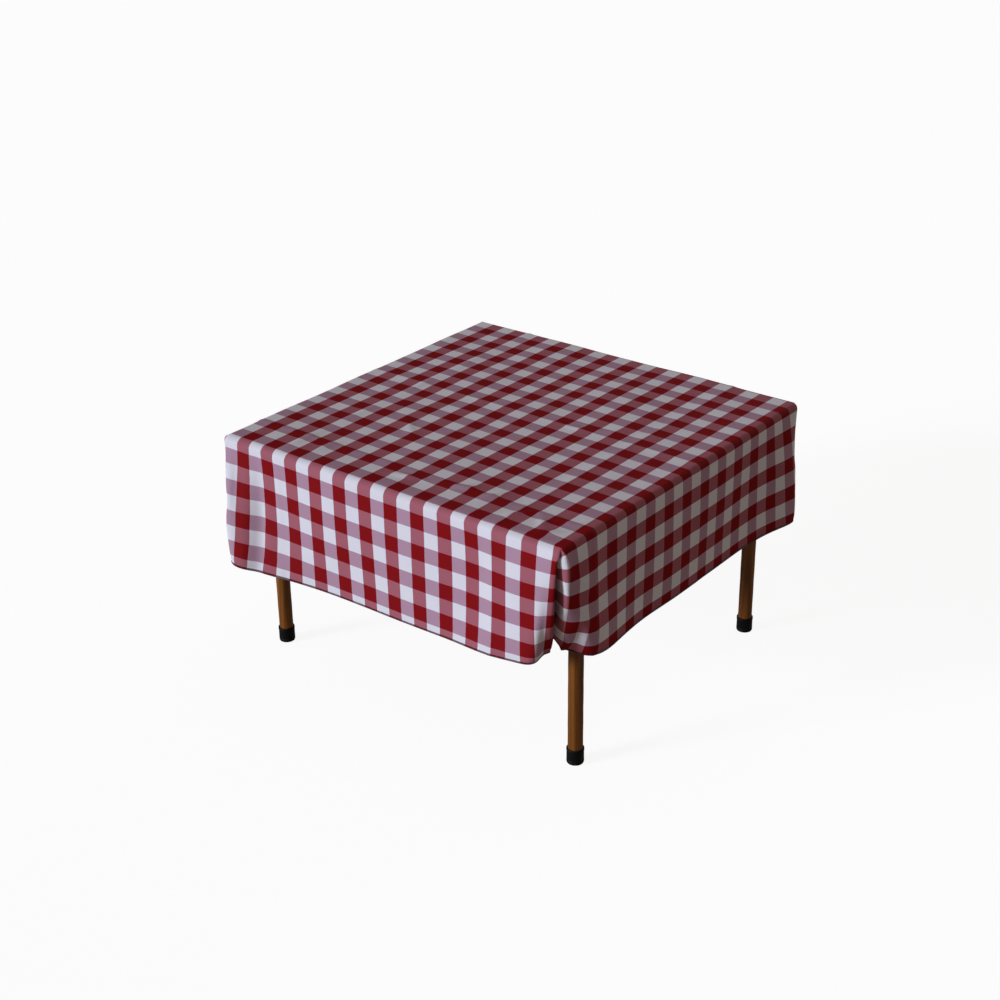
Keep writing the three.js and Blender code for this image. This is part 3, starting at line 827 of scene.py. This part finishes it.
def sheet_mesh(name, points, x, y, thickness, finish):
    """A closed thin sheet over a grid of points, carrying its flat checks with it."""
    rows, columns = points.shape[:2]
    normal = grid_normals(points)
    skins = np.concatenate([(points + normal * thickness / 2).reshape(-1, 3),
                            (points - normal * thickness / 2).reshape(-1, 3)])
    index = np.arange(rows * columns).reshape(rows, columns)
    a, b, c, d = index[:-1, :-1], index[1:, :-1], index[1:, 1:], index[:-1, 1:]
    upper = np.stack([a, b, c, d], -1).reshape(-1, 4)
    lower = np.stack([a, d, c, b], -1).reshape(-1, 4) + rows * columns
    rim = np.concatenate([index[:, 0], index[-1, 1:], index[-2::-1, -1], index[0, -2::-1]])
    turned = np.stack([rim[1:], rim[:-1], rim[:-1] + rows * columns, rim[1:] + rows * columns], -1)
    faces = np.concatenate([upper, lower, turned])
    made = piece(name, skins, faces.tolist(), finish)
    u, v = check_count(x, y)
    checks = np.stack([u, v], -1).reshape(-1, 2)
    checks = np.concatenate([checks, checks])
    spread = np.stack([x, y], -1).reshape(-1, 2)
    spread = (spread - spread.min()) / (spread.max() - spread.min())
    spread = np.concatenate([spread, spread])
    loops = np.empty(len(made.data.loops), dtype=np.int32)
    made.data.loops.foreach_get("vertex_index", loops)
    for layer, values in (("checks", checks), ("OFBake", spread)):
        made.data.uv_layers.new(name=layer).data.foreach_set("uv", values[loops].astype(np.float32).ravel())
    return made


def fine_creases(points, x, y):
    """Fold lines left from packing, and a few small rucks near the front of the top."""
    u, v = check_count(x, y)
    rise = np.zeros_like(x)
    rise += 0.0017 * np.exp(-np.abs(v - 12.4) / 0.20) * (0.6 + 0.4 * np.sin(u * 0.9))
    rise += 0.0016 * np.exp(-np.abs(u - 3.8) / 0.20) * (0.6 + 0.4 * np.sin(v * 1.1 + 1))
    rise += 0.0012 * np.exp(-np.abs(v - 1.2) / 0.18) + 0.0011 * np.exp(-np.abs(u - 20.4) / 0.18)
    # One soft upright fold in the front drop, near its left end.
    rise -= 0.0045 * np.exp(-((u - 2.2) / 0.55) ** 2) * np.clip((-1.9 - v) / 4, 0, 1)
    rise += 0.0025 * np.exp(-((u - 1.2) / 0.6) ** 2) * np.clip((-1.9 - v) / 4, 0, 1)
    # Each ruck: where it lies, in checks along X and Y, its angle, half its length, its height.
    rucks = [(16.0, 1.2, 0.5, 1.1, 0.0034), (18.2, 1.6, 1.1, 0.9, 0.0026), (12.6, 0.4, 0.2, 1.3, 0.0028),
             (20.6, 0.2, 0.9, 1.0, 0.0024), (23.2, -0.6, 0.7, 0.8, 0.0034), (22.4, 0.4, 2.2, 0.7, 0.0022),
             (8.0, 6.0, 2.4, 1.8, 0.0014), (17.5, 13.0, 0.4, 2.2, 0.0012), (5.6, 0.6, 1.3, 1.0, 0.0020)]
    for centre_u, centre_v, angle, length, height in rucks:
        du, dv = u - centre_u, v - centre_v
        along = du * math.cos(angle) + dv * math.sin(angle)
        across = dv * math.cos(angle) - du * math.sin(angle)
        rise += height * np.exp(-(along / length) ** 2 - (across / 0.28) ** 2)
    sway = 0.0009 * np.sin(u * 0.55 + 1.2 * np.sin(v * 0.31)) * np.sin(v * 0.47 + 0.8 * np.sin(u * 0.23 + 1))
    normal = grid_normals(points)
    return points + normal * (rise + np.maximum(sway, -0.0004))[..., None]


def hem_line(points, x, y):
    """The cloth's edge all the way round: its points, points further in, its checks and normals."""
    def ring(g):
        return np.concatenate([g[:-1, 0], g[-1, :-1], g[:0:-1, -1], g[0, :0:-1]])

    rows, columns = points.shape[:2]
    i, j = np.meshgrid(np.arange(rows), np.arange(columns), indexing="ij")
    inward_i, inward_j = np.clip(i, 2, rows - 3), np.clip(j, 2, columns - 3)
    u, v = check_count(x, y)
    checks = np.stack([u, v], -1)
    return ring(points), ring(points[inward_i, inward_j]), ring(checks), ring(grid_normals(points))


def make_edging(points, x, y, finish):
    """The overlocked edge: a cord of slanting stitches along the hem."""
    edge, further_in, checks, normal = hem_line(points, x, y)
    closed = np.concatenate([edge, edge[:1]])
    run = np.concatenate([[0], np.cumsum(np.linalg.norm(np.diff(closed, axis=0), axis=1))])
    count = int(round(run[-1] / STITCH_PITCH)) * 4
    even = np.arange(count) * run[-1] / count

    def spread(g):
        return np.stack([np.interp(even, run, np.append(g[:, k], g[0, k])) for k in range(g.shape[1])], -1)

    centre, back, facing, squares = spread(edge), spread(further_in), spread(normal), spread(checks)
    ahead = np.roll(centre, -1, 0) - np.roll(centre, 1, 0)
    ahead /= np.linalg.norm(ahead, axis=1, keepdims=True)
    inward = back - centre
    inward -= (inward * ahead).sum(1, keepdims=True) * ahead
    inward /= np.linalg.norm(inward, axis=1, keepdims=True)
    outward = np.cross(inward, ahead)
    outward *= np.sign((outward * facing).sum(1, keepdims=True))
    sides = 10
    angle = math.tau * np.arange(sides) / sides
    stitch = np.arange(count)[:, None] / 4
    swell = 1.0 + 0.16 * np.cos(math.tau * (stitch + angle[None] / math.tau))
    tall = EDGING_HEIGHT / 2 * swell * np.cos(angle)[None]
    deep = EDGING_DEPTH / 2 * swell * np.sin(angle)[None]
    middle_line = centre + inward * (EDGING_HEIGHT / 2 - 0.0007)
    ring = middle_line[:, None] + inward[:, None] * tall[..., None] + outward[:, None] * deep[..., None]
    index = np.arange(count * sides).reshape(count, sides)
    after, beside = np.roll(index, -1, 0), np.roll(index, -1, 1)
    faces = np.stack([index, beside, np.roll(after, -1, 1), after], -1).reshape(-1, 4)
    made = piece("cloth_edging", ring.reshape(-1, 3), faces.tolist(), finish)
    # On a front or back hem the stripes are counted along X, on a side hem along Y.
    side_on = np.abs(ahead[:, 1]) > np.abs(ahead[:, 0])
    stripe = np.where(side_on, squares[:, 1], squares[:, 0])
    loops = np.empty(len(made.data.loops), dtype=np.int32)
    made.data.loops.foreach_get("vertex_index", loops)
    coordinate = np.stack([np.repeat(stripe, sides), (stitch + angle[None] / math.tau).ravel()], -1)
    layer = made.data.uv_layers.new(name="checks")
    layer.data.foreach_set("uv", coordinate[loops].astype(np.float32).ravel())
    return made


def make_tablecloth(cotton, thread):
    lay = Lay()
    x, y = cut_cloth(lay)
    points = drape_by_hand(x, y, lay)
    points = settle(points, x, y, lay)
    fine = finer(points)
    flat_xy = finer(np.stack([x, y], -1))
    fine_x, fine_y = flat_xy[..., 0], flat_xy[..., 1]
    fine = fine_creases(fine, fine_x, fine_y)
    cloth = sheet_mesh("checked_cloth", fine, fine_x, fine_y, CLOTH_THICKNESS, cotton)
    edging = make_edging(fine, fine_x, fine_y, thread)
    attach(cloth, "tablecloth")
    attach(edging, "tablecloth")
    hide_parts("tablecloth")
    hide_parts("hem_edging")
    corner = sum(lay.over.values()) / 4
    area = CLOTH_SIDE ** 2 - (4 - math.pi) * corner ** 2


# ---------------------------------------------------------------- studio


def glowing(name, grey, rough, glow):
    """A dull finish that gives off its own even white."""
    finish = Finish(name, Base_Color=(grey, grey, grey), Roughness=rough)
    finish.feed("Emission Color", (1.0, 1.0, 1.0))
    finish.feed("Emission Strength", glow)
    finish.feed("Specular IOR Level", 0.0)
    return finish.material


def make_studio():
    half, level, far = 60.0, -0.0005, 55.0
    corners = [(-half, -half, level), (half, -half, level), (half, half, level), (-half, half, level)]
    floor_finish = glowing("studio_floor", 0.20, 0.9, 0.90)
    floor = piece("studio_floor", corners, [(0, 1, 2, 3)], floor_finish, smooth=False)
    backdrop_finish = glowing("studio_backdrop", 0.0, 1.0, 0.96)
    arc = [math.radians(3 * step - 2) for step in range(31)]
    dome = [(far * math.cos(a), far * math.sin(a)) for a in arc] + [(0.0, far)]
    backdrop = lathe("studio_backdrop", dome, (0.0, 0.0, 0.0), 2, backdrop_finish, 64)
    backdrop.visible_shadow = False
    for pale in (floor, backdrop):
        pale.visible_diffuse = pale.visible_glossy = pale.visible_transmission = False

    world = bpy.data.worlds.new("soft_room")
    world.use_nodes = True
    background = world.node_tree.nodes["Background"]
    background.inputs[0].default_value = (1.0, 0.84, 0.77, 1.0)
    background.inputs[1].default_value = 0.180
    bpy.context.scene.world = world

    def window(name, azimuth, elevation, strength, colour, softness):
        lamp = bpy.data.lights.new(name, "SUN")
        lamp.energy, lamp.color, lamp.angle = strength, colour, math.radians(softness)
        made = bpy.data.objects.new(name, lamp)
        a, e = math.radians(azimuth), math.radians(elevation)
        toward = Vector((math.sin(a) * math.cos(e), -math.cos(a) * math.cos(e), math.sin(e)))
        made.rotation_euler = toward.to_track_quat("Z", "Y").to_euler()
        bpy.context.scene.collection.objects.link(made)

    window("front_window", -30, 14, 2.95, (0.77, 0.82, 1.0), 16)
    window("back_window", 180, 8, 0.7, (1.0, 0.94, 0.88), 30)

    eye = bpy.data.cameras.new("eye")
    eye.lens, eye.sensor_width = 61.8, 36.0
    camera = bpy.data.objects.new("eye", eye)
    camera.location = (1.653, -2.128, 1.579)
    camera.rotation_euler = (1.1187, 0.0122, 0.6642)
    bpy.context.scene.collection.objects.link(camera)
    bpy.context.scene.camera = camera
    bpy.context.scene.view_settings.view_transform = "Standard"


# ---------------------------------------------------------------- the part

make_studio()
leg_wood = wood("varnished_pole", (0.34, 0.120, 0.012), (0.085, 0.024, 0.0030), 2, 0.12)
rod_wood = wood("varnished_rod", (0.34, 0.120, 0.012), (0.085, 0.024, 0.0030), 1, 0.12)
slat_wood = wood("varnished_slat", (0.46, 0.235, 0.070), (0.24, 0.100, 0.026), 1, 0.25, 40.0)
batten_wood = wood("varnished_batten", (0.44, 0.215, 0.060), (0.21, 0.085, 0.020), 0, 0.25, 40.0)
rubber, steel, fibre = black_rubber(), plated_steel(), washer_fibre()
finish_frame({"slat": slat_wood, "batten": batten_wood, "steel": steel, "fibre": fibre})
for corner in ("front_left", "back_left", "front_right", "back_right"):
    side_body = "leg_frame_" + corner.split("_")[1]
    make_leg("leg_" + corner, side_body, leg_wood)
    make_foot_cap("foot_cap_" + corner, side_body, rubber)
for side in ("left", "right"):
    make_stretcher("stretcher_" + side, "leg_frame_" + side, rod_wood)
make_tablecloth(checked_cotton(), edging_thread())
